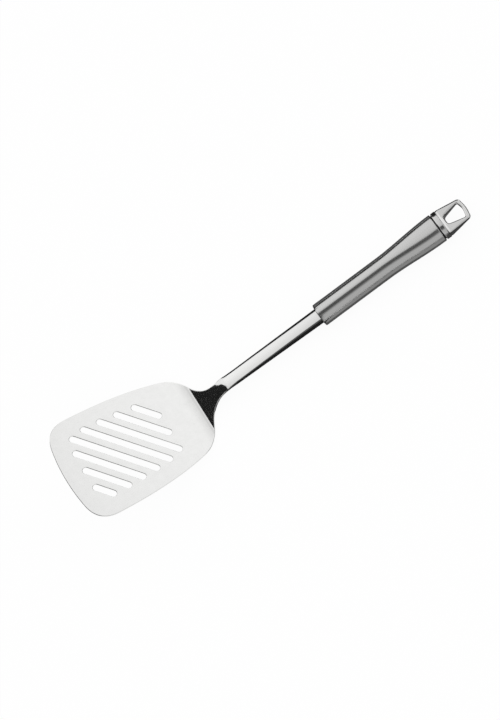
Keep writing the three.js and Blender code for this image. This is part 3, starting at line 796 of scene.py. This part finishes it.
# Near-black steel that stands in for the shade in the groove between tube and collar: painted shade
groove_shade_paint = steel("Groove_painted_shade", tone=0.06, rough=0.5, streak=(400.0, 60.0, 60.0), streak_depth=0.2)
plate_finish = steel("Plate_steel", tone=0.42, rough=0.4, streak=(900.0, 900.0, 900.0), streak_depth=0.1)
weld_finish = steel("Weld_metal", tone=0.4, rough=0.5, streak=(700.0, 700.0, 700.0), streak_depth=0.2,
                    bump=0.3)

make_blade(blade_finish)
make_shaft(shaft_finish)
make_handle(handle_finish)
make_collar(collar_finish, groove_shade_paint)
make_tongue(cap_finish)

# Pieces kept as they are in CAD
for node, finish in {"front_plate": plate_finish, "shaft_weld": weld_finish, "plate_weld": weld_finish,
                     "cap_bond": weld_finish}.items():
    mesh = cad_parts[node].data
    mesh.materials.clear()
    mesh.materials.append(finish)

# Floor of the studio
WHITE = (1.0, 1.0, 1.0, 1.0)
FLOOR_WHITE = (0.96, 0.96, 0.96, 1.0)
FLOOR_GLOW = 0.94
FLOOR_SIZE = 8.0
FLOOR_HEIGHT = -0.0002

# Room of the studio: levels, and spans in degrees of lean across the handle or slant along it
DARK = 0.012
SKY_LOW = 0.72
SKY_RISE = (-10, 34)
DIP = 0.24
DIP_END = (22, 36)
LIFT = 0.16
LIFT_END = (-9, -1)
OVERHEAD_NEAR = (-2, 6)
OVERHEAD_FAR = (63, 70)
GAP = 0.065
GAP_FOOT = (-92, -84)
FRONT = 0.45
FRONT_FOOT = (-91, -83)
FRONT_TOP = (-46, -20)
BANDS_START = (-30, -20)
BANDS_END = (0, 8)
END_START = (44, 54)
# The dark end fades out over this span of a direction's height
END_TOP = (0.45, 0.7)

# Cards of the studio: X where those beside the shaft, handle and cast end start and end, and their distance
SHAFT_CARDS = (-0.062, 0.043)
HANDLE_CARDS = (0.044, 0.157)
CARDS_END = 0.2
CARD_DISTANCE = 0.03
MAT_HEIGHT = -0.0001

# Mats on the floor: the span across, and the level of grey, for each stretch of X
MATS = {
    "far_mat": (SHAFT_CARDS[0], CARDS_END, 0.0, 0.6, 0.1),
    "near_mat": (*HANDLE_CARDS, -0.1, -0.022, 0.3),
    "front_mat": (*HANDLE_CARDS, -0.8, -0.1, 0.2),
    # A dark strip under the handle, seen only in reflections, that stands in for the handle's own shadow on
    # the floor: painted shadow
    "painted_shadow_mat": (*HANDLE_CARDS, -0.022, 0.0, 0.1),
    "cap_mat": (HANDLE_CARDS[1], CARDS_END, -0.2, 0.0, 0.06),
    "shaft_mat": (SHAFT_CARDS[0], HANDLE_CARDS[0], -0.2, 0.0, DARK),
}

# Upright cards along X: the place across, the height and the level of grey, for each stretch of X
UPRIGHTS = {
    "shaft_flag": (*SHAFT_CARDS, -CARD_DISTANCE, 0.06, DARK),
    "cap_flag": (0.158, CARDS_END, CARD_DISTANCE, 0.034, DARK),
    "cap_front_flag": (0.163, CARDS_END, -CARD_DISTANCE, 0.026, 0.03),
}

# Dark cards with cut edges: the one behind the shaft as (X, up), the panel past the blade as (across, up)
FAR_EDGE = [(SHAFT_CARDS[0], 0.0), (SHAFT_CARDS[1], 0.0), (SHAFT_CARDS[1], 0.045), (-0.05, 0.045),
            (-0.053, 0.03), (SHAFT_CARDS[0], 0.016)]
PANEL_X = -0.25
PANEL_EDGE = [(-0.12, 0.0), (0.10, 0.0), (0.15, 0.2), (0.2, 0.32), (0.225, 0.6), (0.22, 1.0), (0.02, 1.0),
              (-0.03, 0.5), (-0.12, 0.25)]


def card(name, corners, material):
    """A flat sheet of the studio."""
    mesh = bpy.data.meshes.new(name)
    mesh.from_pydata(corners, [], [tuple(range(len(corners)))])
    piece = bpy.data.objects.new(name, mesh)
    bpy.context.scene.collection.objects.link(piece)
    mesh.materials.append(material)
    return piece


def level_corners(start, end, near, far, height):
    """Corners of a level rectangle, anticlockwise from above."""
    return [(start, near, height), (end, near, height), (end, far, height), (start, far, height)]


def upright_corners(start, end, across, top):
    """Corners of an upright rectangle that stands on the floor along X."""
    return [(start, across, 0.0), (end, across, 0.0), (end, across, top), (start, across, top)]


def rays(root, *kinds):
    """How many of the named kinds a ray is of."""
    return sum(root.make("ShaderNodeLightPath", output=f"Is {kind} Ray") for kind in kinds)


def floor_material():
    """White floor: mostly a plain white glow to the eye and in reflections, with the object's soft shadow."""
    material, root = new_material("Floor_white")
    glowing = rays(root, "Camera", "Glossy", "Transmission").math("MULTIPLY", FLOOR_GLOW, clamp=True)
    diffuse = root.make("ShaderNodeBsdfDiffuse", Color=FLOOR_WHITE)
    glow = root.make("ShaderNodeEmission", Color=WHITE, Strength=1.0)
    mixed = root.make("ShaderNodeMixShader", i0=glowing, i1=diffuse, i2=glow)
    root.make("ShaderNodeOutputMaterial", Surface=mixed)
    return material


def flag(name, corners, level):
    """A card that only reflections see, at a plain level of grey."""
    material, root = new_material(name + "_grey")
    glow = root.make("ShaderNodeEmission", Color=WHITE, Strength=level)
    root.make("ShaderNodeOutputMaterial", Surface=glow)
    piece = card(name, corners, material)
    piece.visible_camera = piece.visible_diffuse = piece.visible_transmission = False
    piece.visible_volume_scatter = piece.visible_shadow = False


def studio_world():
    """A white room, darker low at its end, with a narrow banded stretch: overhead, dark gap and grey front.

    They are given by a direction's lean across the handle and its slant along it. The eye sees plain white.
    """
    world = bpy.data.worlds.new("Studio")
    bpy.context.scene.world = world
    world.use_nodes = True
    world.node_tree.nodes.clear()
    root = Socket(world.node_tree)
    way = root.make("ShaderNodeTexCoord", output="Generated")
    x, y, z = (root.make("ShaderNodeSeparateXYZ", output=axis, Vector=way) for axis in "XYZ")
    degrees = float(np.degrees(1))
    lean = y.math("ARCTAN2", z) * degrees
    slant = x.math("ARCTAN2", (y * y + z * z).math("SQRT")) * degrees
    dip = (1 - slant.step(*DIP_END)) * DIP - (1 - slant.step(*LIFT_END)) * LIFT
    sky = (lean.step(*SKY_RISE) * (1 - SKY_LOW) + SKY_LOW) * (1 - dip)
    overhead = lean.step(*OVERHEAD_NEAR) * (1 - lean.step(*OVERHEAD_FAR)) * sky
    gap = (1 - lean.step(*OVERHEAD_NEAR)) * lean.step(*GAP_FOOT) * GAP
    front = (1 - lean.step(*FRONT_TOP)) * lean.step(*FRONT_FOOT) * FRONT
    banded = slant.step(*BANDS_START) * (1 - slant.step(*BANDS_END))
    end = slant.step(*END_START) * (1 - z.step(*END_TOP))
    room = (banded * (overhead + gap + front) + (1 - banded) * sky) * (1 - end) + DARK
    plain = rays(root, "Camera", "Diffuse").math("MINIMUM", 1.0)
    level = plain + (1 - plain) * room.math("MINIMUM", 1.0)
    background = root.make("ShaderNodeBackground", Color=WHITE, Strength=level)
    root.make("ShaderNodeOutputWorld", Surface=background)


card("floor", level_corners(-FLOOR_SIZE, FLOOR_SIZE, -FLOOR_SIZE, FLOOR_SIZE, FLOOR_HEIGHT), floor_material())
flag("end_panel", [(PANEL_X, across, up) for across, up in PANEL_EDGE], DARK)
for name, (*spans, grey) in MATS.items():
    flag(name, level_corners(*spans, MAT_HEIGHT), grey)
for name, (*spans, grey) in UPRIGHTS.items():
    flag(name, upright_corners(*spans), grey)
flag("far_flag", [(along, CARD_DISTANCE, up) for along, up in FAR_EDGE], DARK)
studio_world()

# Camera, at the photograph's viewing angle: its place from the maker's origin, along the part's axes
CAMERA_PLACE = np.array([155.656, -572.605, 1416.389])
CAMERA_RIGHT = (0.794428, -0.509352, -0.330825)
CAMERA_DOWN = (-0.590468, -0.775271, -0.224284)
CAMERA_AHEAD = (-0.142239, 0.373519, -0.916652)
FOCAL_PIXELS = 2001.07
IMAGE_HEIGHT = 720
SENSOR = 36.0

lens = bpy.data.cameras.new("Camera")
lens.sensor_fit = "VERTICAL"
lens.sensor_height = SENSOR
lens.lens = FOCAL_PIXELS * SENSOR / IMAGE_HEIGHT
camera = bpy.data.objects.new("Camera", lens)
bpy.context.scene.collection.objects.link(camera)
axes = np.stack([CAMERA_RIGHT, -np.array(CAMERA_DOWN), -np.array(CAMERA_AHEAD)], 1)
place = Matrix.Translation(Vector(CAMERA_PLACE * MM + ORIGIN))
camera.matrix_world = place @ Matrix(axes.tolist()).to_4x4()
bpy.context.scene.camera = camera
bpy.context.scene.view_settings.view_transform = "Standard"
